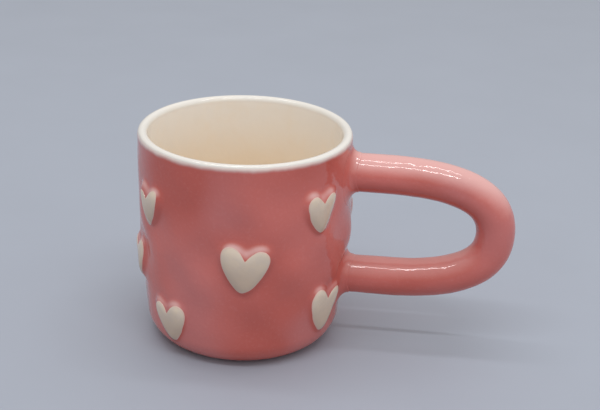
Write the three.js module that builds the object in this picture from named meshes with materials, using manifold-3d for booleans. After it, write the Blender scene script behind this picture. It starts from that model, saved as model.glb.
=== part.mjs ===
// Glazed stoneware mug with a long round coil handle and raised hearts.
// Millimetres, +Z up. The origin is the centre of the flat foot, and the handle points along +X.
import * as THREE from "three";
import { mergeVertices } from "three/addons/utils/BufferGeometryUtils.js";
import Module from "manifold-3d";

const wasm = await Module();
wasm.setup();

// Cup wall
const HEIGHT = 88;
const RIM_RADIUS = 43;
const WALL_TAPER = 4; // how far the wall draws in between the rim and the table
const TAPER_CURVE = 2.3; // a higher power keeps the upper wall straighter
const HEEL_HEIGHT = 10; // the round turn from the wall to the foot
const HEEL_WIDTH = 9;
const HAND_WAVE = 0.3; // how far the hand-formed wall swells and dips
const LIP_RADIUS = 2;
const FLOOR = 6;
const FLOOR_CORNER = 9;

// Cream coat inside the cup and over its lip
const COAT = 0.6;
const COAT_CLEARANCE = 0.1;

// Coil handle and the bead of joining slip round each of its ends
const COIL_DIAMETER = 15.8;
const FINGER_DEPTH = 51.5; // from the wall to the inside of the bend
const STRAIGHT_ARM = 15.5; // from the wall to where the bend begins
const BEND_FULLNESS = 0.67; // 0.55 is an ellipse, and more is squarer
const JOINT_TO_LIP = 2.1; // from the upper bead up to the lip
const JOINT_TO_TABLE = 16; // from the table up to the lower bead
const BEAD = 3.5;
const BEAD_EDGE = 0.4; // thickness of the bead where it thins out
const SEAT_CLEARANCE = 0.3;

// Raised hearts
const HEART_WIDTH = 20;
const HEART_RELIEF = 2;
const HEART_DOME = 3; // a higher power makes a flatter face and a steeper edge
const HEART_CLEARANCE = 0.2;
const HEART_TO_JOINT = 1.5; // between a bead and the heart beside it
const UPPER_ROW_DROP = 23; // from the rim to the upper row's middle
const LOWER_ROW_RISE = 20; // from the table to the lower row's middle

// Facets
const TURNS = 64; // round the cup
const WALL_ROWS = 10;
const HEEL_ROWS = 6;
const LIP_ROWS = 6;
const CORNER_ROWS = 5;
const COIL_SIDES = 24;
const COIL_STEPS = 44;
const BEAD_SIDES = 28;
const BEAD_ROWS = 4;
const HEART_POINTS = 26;
const HEART_RINGS = [0.9, 0.72, 0.42]; // shares of the outline, from the edge of the face inwards
const BACK_RING = 0.5;

const glaze = (color) => new THREE.MeshStandardMaterial({ color, roughness: 0.22, metalness: 0 });
const PINK_GLAZE = glaze(0xcb7772);
const CREAM_GLAZE = glaze(0xeee5d6);
const HEART_GLAZE = glaze(0xe6ddce);

// Sizes that follow from those above
const coilRadius = COIL_DIAMETER / 2;
const lipBase = HEIGHT - LIP_RADIUS;
const wallThickness = 2 * LIP_RADIUS;
const upperArm = lipBase - JOINT_TO_LIP - BEAD - coilRadius;
const lowerArm = JOINT_TO_TABLE + BEAD + coilRadius;
const armGap = upperArm - lowerArm - COIL_DIAMETER;

// Radius of the smooth wall at a height, without its rounded heel.
function taperedRadius(z) {
  return RIM_RADIUS - WALL_TAPER * (1 - z / HEIGHT) ** TAPER_CURVE;
}

// Radius of the outside of the cup: tapered, round at the heel, and a little uneven from the hand.
function wallRadius(angle, z) {
  const underHeel = Math.max(0, 1 - z / HEEL_HEIGHT);
  const heel = HEEL_WIDTH * (1 - Math.sqrt(1 - underHeel ** 2));
  const rise = (Math.PI * z) / lipBase;
  const wave = Math.sin(3 * angle + 2 * rise) + Math.cos(2 * angle - 3 * rise);
  return taperedRadius(z) - heel + (HAND_WAVE / 2) * wave * Math.max(0, Math.sin(rise));
}

// How far from the cup's axis, along +X, the wall lies at a place across the handle.
function wallFront(y, z) {
  const nearly = Math.sqrt(RIM_RADIUS ** 2 - y ** 2);
  return Math.sqrt(wallRadius(Math.atan2(y, nearly), z) ** 2 - y ** 2);
}

const polar = (radius, angle, z) =>
  new THREE.Vector3(radius * Math.cos(angle), radius * Math.sin(angle), z);

// A closed surface through rings of points. A ring of one point is a pole, and a band ends where it began.
function skin(rings, isBand = false) {
  const position = rings.flat().flatMap((p) => p.toArray());
  const starts = [];
  rings.reduce((start, ring) => {
    starts.push(start);
    return start + ring.length;
  }, 0);
  const index = [];
  const pairs = isBand ? rings.length : rings.length - 1;
  for (let i = 0; i < pairs; i++) {
    const k = (i + 1) % rings.length;
    const around = Math.max(rings[i].length, rings[k].length);
    for (let j = 0; j < around; j++) {
      const a = starts[i] + (j % rings[i].length);
      const b = starts[i] + ((j + 1) % rings[i].length);
      const c = starts[k] + ((j + 1) % rings[k].length);
      const d = starts[k] + (j % rings[k].length);
      if (a !== b) index.push(a, b, c);
      if (c !== d) index.push(a, c, d);
    }
  }
  const geometry = new THREE.BufferGeometry();
  geometry.setAttribute("position", new THREE.Float32BufferAttribute(position, 3));
  return geometry.setIndex(index);
}

// A ring round the cup, whose radius may change with the angle.
function turn(radiusAt, z) {
  return Array.from({ length: TURNS }, (_, i) => {
    const angle = (i / TURNS) * 2 * Math.PI;
    return polar(radiusAt(angle), angle, z);
  });
}

function solidOf(geometry) {
  const bare = geometry.clone().deleteAttribute("normal").deleteAttribute("uv");
  const merged = mergeVertices(bare, 1e-4);
  const vertProperties = merged.getAttribute("position").array;
  const triVerts = new Uint32Array(merged.index.array);
  return new wasm.Manifold(new wasm.Mesh({ numProp: 3, vertProperties, triVerts }));
}

function geometryOf(solid) {
  const { vertProperties, triVerts } = solid.getMesh();
  const geometry = new THREE.BufferGeometry();
  geometry.setAttribute("position", new THREE.BufferAttribute(vertProperties, 3));
  return geometry.setIndex(new THREE.BufferAttribute(triVerts, 1));
}

// Heights of the outer wall's rows, closer together round the heel.
function wallHeights(top) {
  const heel = Array.from({ length: HEEL_ROWS }, (_, i) => {
    const swing = (i / HEEL_ROWS) * (Math.PI / 2);
    return HEEL_HEIGHT * (1 - Math.cos(swing));
  });
  const wall = Array.from(
    { length: WALL_ROWS + 1 },
    (_, i) => HEEL_HEIGHT + (i / WALL_ROWS) * (top - HEEL_HEIGHT),
  );
  return [...heel, ...wall];
}

// Over the lip, down the inside and across the floor to the axis, sunk into the clay by a depth.
function bowlProfile(depth) {
  const cornerTop = FLOOR + FLOOR_CORNER;
  const innerRadius = (z) => taperedRadius(z) - wallThickness;
  const points = [];
  for (let i = 0; i <= LIP_ROWS; i++) {
    const swing = (i / LIP_ROWS) * Math.PI;
    const out = (LIP_RADIUS - depth) * Math.cos(swing);
    const up = (LIP_RADIUS - depth) * Math.sin(swing);
    points.push(new THREE.Vector2(RIM_RADIUS - LIP_RADIUS + out, lipBase + up));
  }
  const halfway = (lipBase + cornerTop) / 2;
  points.push(new THREE.Vector2(innerRadius(halfway) + depth, halfway));
  for (let i = 0; i <= CORNER_ROWS; i++) {
    const swing = (i / CORNER_ROWS) * (Math.PI / 2);
    const out = (FLOOR_CORNER + depth) * Math.cos(swing);
    const down = (FLOOR_CORNER + depth) * Math.sin(swing);
    points.push(new THREE.Vector2(innerRadius(cornerTop) - FLOOR_CORNER + out, cornerTop - down));
  }
  points.push(new THREE.Vector2(0, FLOOR - depth));
  return points;
}

// The clay cup, stepped in round the lip for the coat that laps over it.
function cupBody() {
  const outside = wallHeights(lipBase - COAT_CLEARANCE).map((z) =>
    turn((angle) => wallRadius(angle, z), z),
  );
  const bowl = bowlProfile(COAT + COAT_CLEARANCE);
  const ledge = turn(() => bowl[0].x, lipBase - COAT_CLEARANCE);
  const inside = bowl.slice(0, -1).map((p) => turn(() => p.x, p.y));
  return skin([[polar(0, 0, 0)], ...outside, ledge, ...inside, [polar(0, 0, bowl.at(-1).y)]]);
}

function creamCoat() {
  const profile = [...bowlProfile(COAT).reverse(), ...bowlProfile(0)];
  return new THREE.LatheGeometry(profile, TURNS).rotateX(Math.PI / 2);
}

// The cup's outside filled solid and grown by a clearance, which shapes what seats on the wall.
function wallFormer(clearance) {
  const outside = wallHeights(HEIGHT).map((z) =>
    turn((angle) => wallRadius(angle, z) + clearance, z),
  );
  return skin([[polar(0, 0, 0)], ...outside, [polar(0, 0, HEIGHT)]]);
}

// A round coil bent to a long loop, its two ends hollowed to sit on the wall.
function coilHandle() {
  const at = (x, z) => new THREE.Vector3(x, 0, z);
  const middle = (upperArm + lowerArm) / 2;
  const rise = upperArm - middle;
  const root = RIM_RADIUS - WALL_TAPER - coilRadius;
  const bend = RIM_RADIUS + STRAIGHT_ARM;
  const end = RIM_RADIUS + FINGER_DEPTH + coilRadius;
  const shoulder = bend + BEND_FULLNESS * (end - bend);
  const path = new THREE.CurvePath();
  path.add(new THREE.LineCurve3(at(root, upperArm), at(bend, upperArm)));
  for (const side of [1, -1]) {
    const corner = [
      at(bend, middle + side * rise),
      at(shoulder, middle + side * rise),
      at(end, middle + side * BEND_FULLNESS * rise),
      at(end, middle),
    ];
    path.add(new THREE.CubicBezierCurve3(...(side > 0 ? corner : corner.reverse())));
  }
  path.add(new THREE.LineCurve3(at(bend, lowerArm), at(root, lowerArm)));
  const section = new THREE.Shape().absarc(0, 0, coilRadius, 0, 2 * Math.PI);
  const coil = new THREE.ExtrudeGeometry(section, {
    steps: COIL_STEPS,
    curveSegments: COIL_SIDES / 2,
    extrudePath: path,
  });
  return geometryOf(solidOf(coil).subtract(solidOf(wallFormer(SEAT_CLEARANCE))));
}

// The hollow-faced bead of slip wiped round the end of an arm, lying on the wall and round the coil.
function joiningBead(armHeight) {
  const near = coilRadius + SEAT_CLEARANCE;
  const far = coilRadius + BEAD;
  const low = SEAT_CLEARANCE;
  const section = [
    [near, low],
    [far, low],
  ];
  for (let i = 0; i <= BEAD_ROWS; i++) {
    const swing = (i / BEAD_ROWS) * (Math.PI / 2);
    const out = (far - near - BEAD_EDGE) * (1 - Math.sin(swing));
    const up = (BEAD - low - BEAD_EDGE) * (1 - Math.cos(swing));
    section.push([near + BEAD_EDGE + out, low + BEAD_EDGE + up]);
  }
  section.push([near, BEAD]);
  const rings = section.map(([out, height]) =>
    Array.from({ length: BEAD_SIDES }, (_, i) => {
      const turned = (i / BEAD_SIDES) * 2 * Math.PI;
      const y = out * Math.cos(turned);
      const z = armHeight + out * Math.sin(turned);
      return new THREE.Vector3(wallFront(y, z) + height, y, z);
    }),
  );
  return skin(rings, true);
}

// A plump heart one unit wide with a round tip at the origin.
function heartOutline() {
  const outline = new THREE.Shape().moveTo(0, 0);
  outline.bezierCurveTo(0.17, 0, 0.5, 0.5, 0.5, 0.77);
  outline.bezierCurveTo(0.5, 0.9, 0.42, 1, 0.3, 1);
  outline.bezierCurveTo(0.18, 1, 0.07, 0.86, 0, 0.76);
  outline.bezierCurveTo(-0.07, 0.86, -0.18, 1, -0.3, 1);
  outline.bezierCurveTo(-0.42, 1, -0.5, 0.9, -0.5, 0.77);
  outline.bezierCurveTo(-0.5, 0.5, -0.17, 0, 0, 0);
  const middle = new THREE.Vector2(0, 0.54);
  return outline
    .getSpacedPoints(HEART_POINTS)
    .slice(0, -1)
    .map((p) => p.sub(middle));
}

// A puffed heart laid on the wall, whose back follows the wall and whose face rises from its edge.
function heart({ angle, height, width, tilt }) {
  const outline = heartOutline().map((p) =>
    p.multiplyScalar(width).rotateAround(new THREE.Vector2(), THREE.MathUtils.degToRad(tilt)),
  );
  const onWall = (p, raised) => {
    const around = angle + p.x / RIM_RADIUS;
    const z = height + p.y;
    return polar(wallRadius(around, z) + HEART_CLEARANCE + raised, around, z);
  };
  const ring = (share, raised) => outline.map((p) => onWall(p.clone().multiplyScalar(share), raised));
  const puff = (share) => HEART_RELIEF * Math.sqrt(1 - share ** HEART_DOME);
  const middle = new THREE.Vector2();
  return skin([
    [onWall(middle, 0)],
    ring(BACK_RING, 0),
    ring(1, 0),
    ...HEART_RINGS.map((share) => ring(share, puff(share))),
    [onWall(middle, HEART_RELIEF)],
  ]);
}

// The hearts stand in eight columns, two in a column and one in the next, each set down by eye.
function heartPlaces() {
  const upper = HEIGHT - UPPER_ROW_DROP;
  const lower = LOWER_ROW_RISE;
  const middle = (upper + lower) / 2;
  const degrees = THREE.MathUtils.degToRad;
  const place = (name, around, height, size, tilt) => ({
    name,
    angle: degrees(around),
    height,
    width: HEART_WIDTH * size,
    tilt,
  });
  const between = {
    name: "heart_inside_handle",
    angle: degrees(18),
    height: (upperArm + lowerArm) / 2,
    width: armGap - 2 * BEAD - 2 * HEART_TO_JOINT,
    tilt: 4,
  };
  const beside = place("heart_lower_right", 0, lower + 1.5, 0.95, -12);
  beside.angle = -(coilRadius + BEAD + HEART_TO_JOINT + beside.width / 2) / RIM_RADIUS;
  return [
    between,
    beside,
    place("heart_upper_right", -38, upper + 0.7, 0.79, -5),
    place("heart_front", -81, middle + 3.5, 0.97, -6),
    place("heart_upper_left", -138, upper - 1, 0.75, 14),
    place("heart_lower_left", -125, lower - 3.2, 0.84, 12),
    place("heart_left", -161.5, middle - 7, 0.8, 9),
    place("heart_upper_back_left", 153, upper + 1, 0.95, -6),
    place("heart_lower_back_left", 147, lower + 1, 0.9, 8),
    place("heart_back", 102, middle + 1, 1, 4),
    place("heart_upper_back_right", 52, upper - 0.5, 0.92, 7),
    place("heart_lower_back_right", 57, lower, 0.95, -7),
  ];
}

const mug = new THREE.Group();

function addPiece(name, geometry, material) {
  const piece = new THREE.Mesh(geometry, material);
  piece.name = name;
  mug.add(piece);
}

addPiece("cup_body", cupBody(), PINK_GLAZE);
addPiece("cream_liner", creamCoat(), CREAM_GLAZE);
addPiece("coil_handle", coilHandle(), PINK_GLAZE);
addPiece("upper_joint_bead", joiningBead(upperArm), PINK_GLAZE);
addPiece("lower_joint_bead", joiningBead(lowerArm), PINK_GLAZE);
for (const place of heartPlaces()) {
  addPiece(place.name, heart(place), HEART_GLAZE);
}

export default mug;
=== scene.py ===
"""Looks of a hand-made stoneware mug: pink glaze, cream lining, coil handle and painted hearts."""
import math
from typing import NamedTuple

import bpy
import numpy as np
from bpy.props import FloatProperty, FloatVectorProperty, IntProperty, PointerProperty
from mathutils import Matrix, Vector, noise
from mathutils.bvhtree import BVHTree


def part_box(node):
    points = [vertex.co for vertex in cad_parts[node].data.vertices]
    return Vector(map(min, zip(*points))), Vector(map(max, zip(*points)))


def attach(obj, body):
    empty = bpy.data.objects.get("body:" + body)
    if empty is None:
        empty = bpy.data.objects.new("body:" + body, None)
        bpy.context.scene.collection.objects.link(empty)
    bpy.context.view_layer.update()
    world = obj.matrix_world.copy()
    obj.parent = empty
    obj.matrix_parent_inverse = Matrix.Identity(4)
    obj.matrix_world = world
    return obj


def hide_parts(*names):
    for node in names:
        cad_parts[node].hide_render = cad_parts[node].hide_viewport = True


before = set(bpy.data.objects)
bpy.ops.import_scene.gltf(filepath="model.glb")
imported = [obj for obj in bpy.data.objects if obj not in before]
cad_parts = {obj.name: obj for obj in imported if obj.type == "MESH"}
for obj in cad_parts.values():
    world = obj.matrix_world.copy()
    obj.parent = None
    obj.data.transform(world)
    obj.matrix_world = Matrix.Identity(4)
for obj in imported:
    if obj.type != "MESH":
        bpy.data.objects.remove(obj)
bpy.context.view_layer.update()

bl_info = {
    "name": "Heart Mug",
    "version": (1, 0, 0),
    "blender": (4, 5, 0),
    "location": "View3D > Sidebar > Mug",
    "description": "Makes the glazed surfaces of a stoneware mug with a coil handle and raised hearts",
    "category": "Object",
}

MM = 0.001
QUARTER_TURN = math.pi / 2
LINING_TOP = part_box("cream_liner")[1]
COIL_LOW, COIL_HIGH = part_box("coil_handle")

# A plump heart one unit wide: the right half of its outline, from the tip to the notch, as cubic curves
HEART_HALF = (
    ((0.0, 0.0), (0.17, 0.0), (0.5, 0.5), (0.5, 0.77)),
    ((0.5, 0.77), (0.5, 0.9), (0.42, 1.0), (0.3, 1.0)),
    ((0.3, 1.0), (0.18, 1.0), (0.07, 0.86), (0.0, 0.76)),
)
HEART_MIDDLE = 0.54  # height of the middle above the tip
WOBBLE_SCALE = 2.6  # how many times a painted edge strays across one heart
PAINT_EDGE = 0.24  # where paint has its full thickness, from 0 at its edge to 1 at its middle

# Unevenness from the hand, as waves: height, waves round, half waves up the wall and start
HAND_WAVES = ((1, 3, 2, 0), (1, 2, -3, QUARTER_TURN))
FINGER_DENTS = ((1, 13, 5, 0), (1, 9, -7, 2), (1, 6, 8, QUARTER_TURN))
FOOT_WAVES = ((0.25, 7, 0, 0), (0.15, 17, 0, 1))
LAP_WAVES = ((1, 5, 0, 1), (0.6, 11, 0, 0), (0.4, 23, 0, 2))
BEAD_SPREAD_WAVES = ((0.06, 5, 0, 1),)
BEAD_RISE_WAVES = ((0.07, 3, 0, 2), (0.04, 7, 0, 0))

# Rings and rows of points
FOOT_RINGS = 3  # across the bare foot
UNDER_LAP_ROWS = 8  # of the wall, up the lip under the cream edge
LINING_ROWS = 30  # of the lining, over the lip
HIDDEN_ROWS = 8  # over the lip where nothing shows
CURVE_STEPS = 32  # from knot to knot of a curve
WELD = 0.001 * MM  # points closer than this are one

# The cream edge on the lip, as shares of the way over it
LAP_ROUND = 1 / 12  # where the edge has risen to its full lift
LAP_FADE = 0.5  # where that lift has died away
LAP_CROWDING = 1.5  # more than 1 crowds the rows towards the edge

# The coil and its joints
ROLL_SCALE = 55.0  # lumps from rolling, in a metre
PEEL_SCALE = 230.0  # ripples of the glaze, in a metre
NOISE_REACH = 4.0  # noise strays about a quarter from its middle, and this brings it to one
BEAD_SIDES = 0.18  # how much further the slip spreads at the sides of an arm
BEAD_BELOW = 0.25  # how much further it spreads below an arm, and less above it
BEAD_STEP = ((0.85, 0.8), (0.4, 1.6), (-0.4, 2.0), (-2.0, 2.0))  # its edge: out and along, in steps of it

# Glazes
SLOPE_RUN = 10  # how fast the glaze's run, with the painted sheen and shade on it, grows up the slope of a swell, and falls again
FACES_DOWN = (0.1, -0.6)  # rise of a face's direction, where glaze starts to pool and painted shade to darken it, and where both are full
FACES_UP = (0.15, 0.85)  # the same, where glaze starts to run off and a painted sheen to pale it, and where both are full
PATCH_SHIFT = (0.3, 0.1, 0.2)  # sets the cool patches apart from the deep ones
MILKY_BELOW, MILKY_ABOVE = 1.5 * MM, 0.7 * MM  # how far the milky fade reaches from the cream edge
RIM_BELOW, RIM_ABOVE = 1 * MM, 1.5 * MM  # from the lip's base, where thin cream starts and is full
DEEPEN_TOP, DEEPEN_FLOOR = 6 * MM, 20 * MM  # where the deeper, warmer cream inside ends over the rim, and is full over the floor
LOBES, TIP = 0.42, -0.35  # heights on a heart one unit wide, from where its painted shade starts to where it is full
FINE_PEEL = 0.3  # depth of the finer orange peel, as a share of the coarser
BLOTCH_ROUGHNESS = 0.55
GLAZE_IOR = 1.6

# Stage
LIGHT_SPREAD = (-0.3, 0.8)  # how near to the light's side the soft light starts and stops growing
FLOOR_ROUGHNESS = 0.55
SENSOR_WIDTH = 36.0  # mm
NEAREST = 10 * MM  # nearest that the camera sees


class Heart(NamedTuple):
    """How a heart was set down by hand. Pairs are right and up, in mm."""

    lean: float  # degrees
    droop: float = 0.0  # slope of its right side
    sway: float = 0.0  # slope of its top
    slip: tuple = (0.0, 0.0)  # how far its paint slips
    turn: float = 0.0  # turn of its swell, in degrees
    stray: tuple = (0.0, 0.0)  # how far its swell strays
    swell: float = 1.0  # height of its swell, as a share of the full relief


HEARTS = {
    "heart_inside_handle": Heart(4, droop=-0.1, slip=(2.4, 0.0), stray=(1.9, -0.6), swell=0.5),
    "heart_lower_right": Heart(-12, turn=2, stray=(0.2, 0.3)),
    "heart_upper_right": Heart(-5, turn=2, stray=(-0.4, 0.5)),
    "heart_front": Heart(-6, droop=0.05, turn=3, stray=(0.5, 0.2)),
    "heart_upper_left": Heart(14, sway=0.3, slip=(-1.6, -1.0), turn=-15, stray=(-0.9, 0.3)),
    "heart_lower_left": Heart(12, droop=0.06, sway=0.1, turn=-5, stray=(-0.8, 0.4)),
    "heart_left": Heart(9, slip=(0.5, 0.0), stray=(0.8, 0.1)),
    "heart_upper_back_left": Heart(-6, droop=0.05, turn=3, stray=(0.3, 0.2)),
    "heart_lower_back_left": Heart(8, droop=-0.05, turn=-2, stray=(-0.3, 0.1)),
    "heart_back": Heart(4, droop=0.06, turn=3, stray=(0.4, 0.2)),
    "heart_upper_back_right": Heart(7, droop=-0.04, turn=-3, stray=(-0.2, 0.3)),
    "heart_lower_back_right": Heart(-7, droop=0.08, turn=2, stray=(0.3, 0.2)),
}


# Sizes and colours that a user would change


def length(name, description, default):
    return FloatProperty(name=name, description=description, default=default, unit="LENGTH", precision=5)


def share(name, description, default):
    return FloatProperty(name=name, description=description, default=default, min=0.0, precision=3)


def angle(name, description, degrees):
    return FloatProperty(name=name, description=description, default=math.radians(degrees), subtype="ANGLE")


def colour(name, description, default):
    return FloatVectorProperty(
        name=name, description=description, default=default, min=0.0, max=1.0, subtype="COLOR"
    )


def place(name, description, default):
    return FloatVectorProperty(name=name, description=description, default=default, subtype="XYZ")


def light(name, description, default):
    return FloatProperty(name=name, description=description, default=default, min=0.0)


def count(name, description, default):
    return IntProperty(name=name, description=description, default=default, min=3)


class MugCup(bpy.types.PropertyGroup):
    """Sizes of the cup and its cream lining."""

    height: length("Height", "Table to rim", LINING_TOP.z)
    rim_radius: length("Rim radius", "Axis to the outside of the rim", LINING_TOP.x)
    wall_taper: length("Taper", "How far the wall draws in between the rim and the table", 4 * MM)
    taper_curve: share("Taper curve", "A higher power keeps the upper wall straighter", 2.3)
    heel_height: length("Heel height", "Height of the round turn to the foot", 10 * MM)
    heel_width: length("Heel width", "Width of the round turn to the foot", 9 * MM)
    hand_wave: length("Hand wave", "How far the wall swells and dips from true", 0.3 * MM)
    finger_dent: length("Finger dents", "Depth of the soft presses left by fingers", 0.6 * MM)
    bulge: length("Bulge", "How far the wall swells out between the ends of the handle", 1.6 * MM)
    bulge_height: length("Bulge height", "Table to the middle of that bulge", 49 * MM)
    bulge_spread: length("Bulge spread", "How far that bulge spreads", 15 * MM)
    glaze_ripple: length("Glaze ripple", "Depth of the orange peel in the glaze", 0.03 * MM)
    lip_radius: length("Lip radius", "Half the thickness of the wall at the lip", 2 * MM)
    floor: length("Floor", "Thickness of the floor", 6 * MM)
    floor_corner: length("Floor corner", "Radius between the inner wall and the floor", 9 * MM)
    coat: length("Coat", "Thickness of the cream lining", 0.6 * MM)
    lap_lift: length("Lap lift", "How far the cream edge stands off the pink", 0.1 * MM)
    lap_edge: angle("Lap edge", "How far up the outer round of the lip the cream edge lies", 36)
    lap_wave: length("Lap wave", "How far the cream edge runs up and down", 0.25 * MM)
    glaze_line: length("Glaze line", "Bare border between the glaze and the edge of the foot", 1.2 * MM)
    turns: count("Turns", "Points round the cup", 480)
    rows: count("Rows", "Rows up the straight wall", 134)
    heel_rows: count("Heel rows", "Rows round the heel", 26)


class MugHandle(bpy.types.PropertyGroup):
    """Sizes of the coil handle and its joints."""

    coil_radius: length("Coil radius", "Half the thickness of the coil", (COIL_HIGH.y - COIL_LOW.y) / 2)
    reach: length("Reach", "Axis of the cup to the outside of the bend", COIL_HIGH.x)
    upper_side: length("Upper side", "Table to the top of the upper arm", COIL_HIGH.z)
    lower_side: length("Lower side", "Table to the underside of the lower arm", COIL_LOW.z)
    straight_arm: length("Straight arm", "Rim to where the bend begins", 15.5 * MM)
    bend_fullness: share("Bend fullness", "0.55 is an ellipse, and more is squarer", 0.67)
    unevenness: length("Unevenness", "How far the rolled coil is from round", 0.12 * MM)
    glaze_ripple: length("Glaze ripple", "Depth of the orange peel in the glaze", 0.035 * MM)
    sunk: length("Sunk", "How far the coil's ends go into the wall", 2 * MM)
    bead_spread: length("Bead spread", "How far the joining slip feathers out on the wall", 4.6 * MM)
    bead_rise: length("Bead rise", "How far the joining slip reaches along the arm", 3.3 * MM)
    bead_edge: length("Bead edge", "Step where the joining slip ends on the arm", 0.22 * MM)
    # Less run and painted sheen on the lower arm, as painted shade where the upper arm shades its top
    lower_arm_shading: share("Lower arm shading", "How far glaze ran off the lower arm, as a share of the upper", 0.45)
    step: length("Step", "Length of one step along the coil", 0.8 * MM)
    sides: count("Sides", "Points round the coil", 72)
    bead_sides: count("Bead sides", "Points round a joint", 144)
    bead_rows: count("Bead rows", "Rows across the hollow of a joint", 20)


class MugHearts(bpy.types.PropertyGroup):
    """Sizes of the raised hearts and their paint."""

    relief: length("Relief", "How far a heart stands off the wall", 2.0 * MM)
    foot: length("Foot", "How far the swell starts outside the heart's outline", 1.9 * MM)
    crown: length("Crown", "How far inside the outline the swell is at its full height", 2.7 * MM)
    notch_fill: share("Notch fill", "How much of the heart's notch the swell fills in", 0.35)
    steepness: share("Steepness", "Under 1, the slope is steeper at the foot than at the crown", 0.72)
    paint: length("Paint", "Thickness of the cream paint", 0.1 * MM)
    sink: length("Sink", "How far the paint's edge and back lie in the wall", 0.15 * MM)
    wobble: share("Wobble", "How far the painted edge strays, as a share of the heart's width", 0.055)
    points: count("Points", "Points round a heart", 128)
    rings: count("Rings", "Rings from a heart's edge to its middle", 20)


class MugFinish(bpy.types.PropertyGroup):
    """Colours and gloss of the glazes."""

    pink: colour("Pink", "Pink glaze", (0.66, 0.165, 0.14))
    # Deep pink: thick glaze in patches, and also painted shade where it darkens what faces down
    pink_deep_and_shade: colour("Deep pink and shade", "Pink glaze where it lies thick", (0.53, 0.10, 0.075))
    pink_cool: colour("Cool pink", "Pink glaze in its cooler patches", (0.59, 0.18, 0.17))
    # Pale pink: thin glaze, and also a painted sheen where it pales what faces up
    pink_thin_and_sheen: colour("Thin pink and sheen", "Pink glaze where it has run off what faces up", (0.76, 0.43, 0.41))
    cream: colour("Cream", "Cream glaze on the upper wall inside", (0.94, 0.915, 0.87))
    cream_thin: colour("Thin cream", "Cream glaze where it has run off the rim", (0.80, 0.775, 0.73))
    # Deep cream: pooling glaze low inside, with painted shade and warm bounce light there; also blotches
    # here and on the hearts
    cream_deep: colour("Deep cream", "Cream glaze where it pools inside", (0.92, 0.73, 0.48))
    heart_cream: colour("Heart cream", "Cream paint on the hearts", (0.76, 0.64, 0.525))
    # Darker cream towards a heart's tip: painted shade, as its lower part turns from the light
    heart_shade: colour("Shaded heart cream", "Cream paint run to the tip of a heart", (0.56, 0.43, 0.33))
    clay: colour("Clay", "Bare clay of the foot", (0.60, 0.49, 0.37))
    gloss_low: share("Least roughness", "Roughness where the glaze is smoothest", 0.04)
    gloss_high: share("Most roughness", "Roughness where the glaze is dullest", 0.1)
    peel: length("Orange peel", "Depth of the finest orange peel in pink and paint", 0.11 * MM)
    lining_peel: length("Lining peel", "Depth of the finest orange peel in the lining", 0.04 * MM)


class MugStage(bpy.types.PropertyGroup):
    """Floor, light and camera."""

    floor: colour("Floor", "Pale floor", (0.39, 0.43, 0.51))
    backdrop: colour("Backdrop", "Pale backdrop beyond the floor", (0.365, 0.385, 0.42))
    floor_size: length("Floor size", "Side of the floor", 8.0)
    ceiling: light("Ceiling", "Strength of the soft light from overhead", 0.82)
    horizon: light("Horizon", "Strength of the soft light from the sides", 0.38)
    light_colour: colour("Light colour", "Colour of the soft light", (1.0, 0.98, 0.96))
    light_side: place("Light side", "Towards where the soft light is strongest", (0.42, -0.1, 0.9))
    front_power: light("Front strip power", "Power of the front strip light in watts", 4.4)
    rear_power: light("Rear strip power", "Power of the rear strip light in watts", 3.2)
    strip_height: length("Strip height", "Height of the strip lights", 1.3)
    strip_length: length("Strip length", "Length of the strip lights", 1.3)
    strip_width: length("Strip width", "Width of the strip lights", 0.06)
    front_strip: length("Front strip", "How far the front strip stands in front of the mug", 0.52)
    rear_strip: length("Rear strip", "How far the rear strip stands behind the mug", 0.12)
    camera_place: place("Camera", "Place of the camera", (0.0698, -0.4469, 0.2494))
    camera_heading: angle("Heading", "Turn of the camera to the left of +Y", 6.0)
    camera_pitch: angle("Pitch", "How far the camera looks down", 23.26)
    camera_roll: angle("Roll", "How far the camera's right side is raised", 1.97)
    lens: FloatProperty(name="Lens", description="Focal length", default=72.0, unit="CAMERA")


# Meshes


def new_object(name, data):
    made = bpy.data.objects.new(name, data)
    bpy.context.scene.collection.objects.link(made)
    return made


def skin(name, rings, is_band=False):
    """A closed mesh through rings of points: a ring of one point is a pole, a band ends where it began."""
    starts = np.cumsum([0] + [len(ring) for ring in rings])
    faces = []
    for low in range(len(rings) if is_band else len(rings) - 1):
        high = (low + 1) % len(rings)
        around = max(len(rings[low]), len(rings[high]))
        here = np.arange(around)
        corners = [
            starts[low] + here % len(rings[low]),
            starts[low] + (here + 1) % len(rings[low]),
            starts[high] + (here + 1) % len(rings[high]),
            starts[high] + here % len(rings[high]),
        ]
        if len(rings[low]) == 1:
            corners.pop(1)
        elif len(rings[high]) == 1:
            corners.pop(2)
        faces += np.stack(corners, axis=1).tolist()
    mesh = bpy.data.meshes.new(name)
    mesh.from_pydata(np.concatenate(rings).tolist(), [], faces)
    mesh.shade_smooth()
    mesh.update()
    return new_object(name, mesh)


def circle(points):
    """Evenly spaced angles round a full turn."""
    return np.arange(points) / points * 2 * math.pi


def wrapped(angles):
    """The same angles, brought within half a turn of zero."""
    return (angles + math.pi) % (2 * math.pi) - math.pi


def waves(terms, around, rise=0):
    """The sum of a few waves, at angles round a circle and heights up a wall."""
    return sum(
        height * np.sin(turns * around + climbs * rise + start) for height, turns, climbs, start in terms
    )


def ring(radius, around, z):
    """Points round the cup's axis, whose radius and height may change with the angle."""
    return np.stack([radius * np.cos(around), radius * np.sin(around), z + 0 * around], axis=1)


def pole(z):
    return np.array([[0.0, 0.0, z]])


def arc(out, up, radius, turn, rows):
    """Points on an arc about a middle, from level with it on the outside and on through a turn."""
    swing = np.linspace(0, turn, rows)
    return np.stack([out + radius * np.cos(swing), up + radius * np.sin(swing)], axis=1)


def mark(mesh, name, values):
    """Keeps a number for each point of a mesh, which a finish can read."""
    made = mesh.attributes.new(name, "FLOAT", "POINT")
    made.data.foreach_set("value", np.asarray(values, np.float32))


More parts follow.
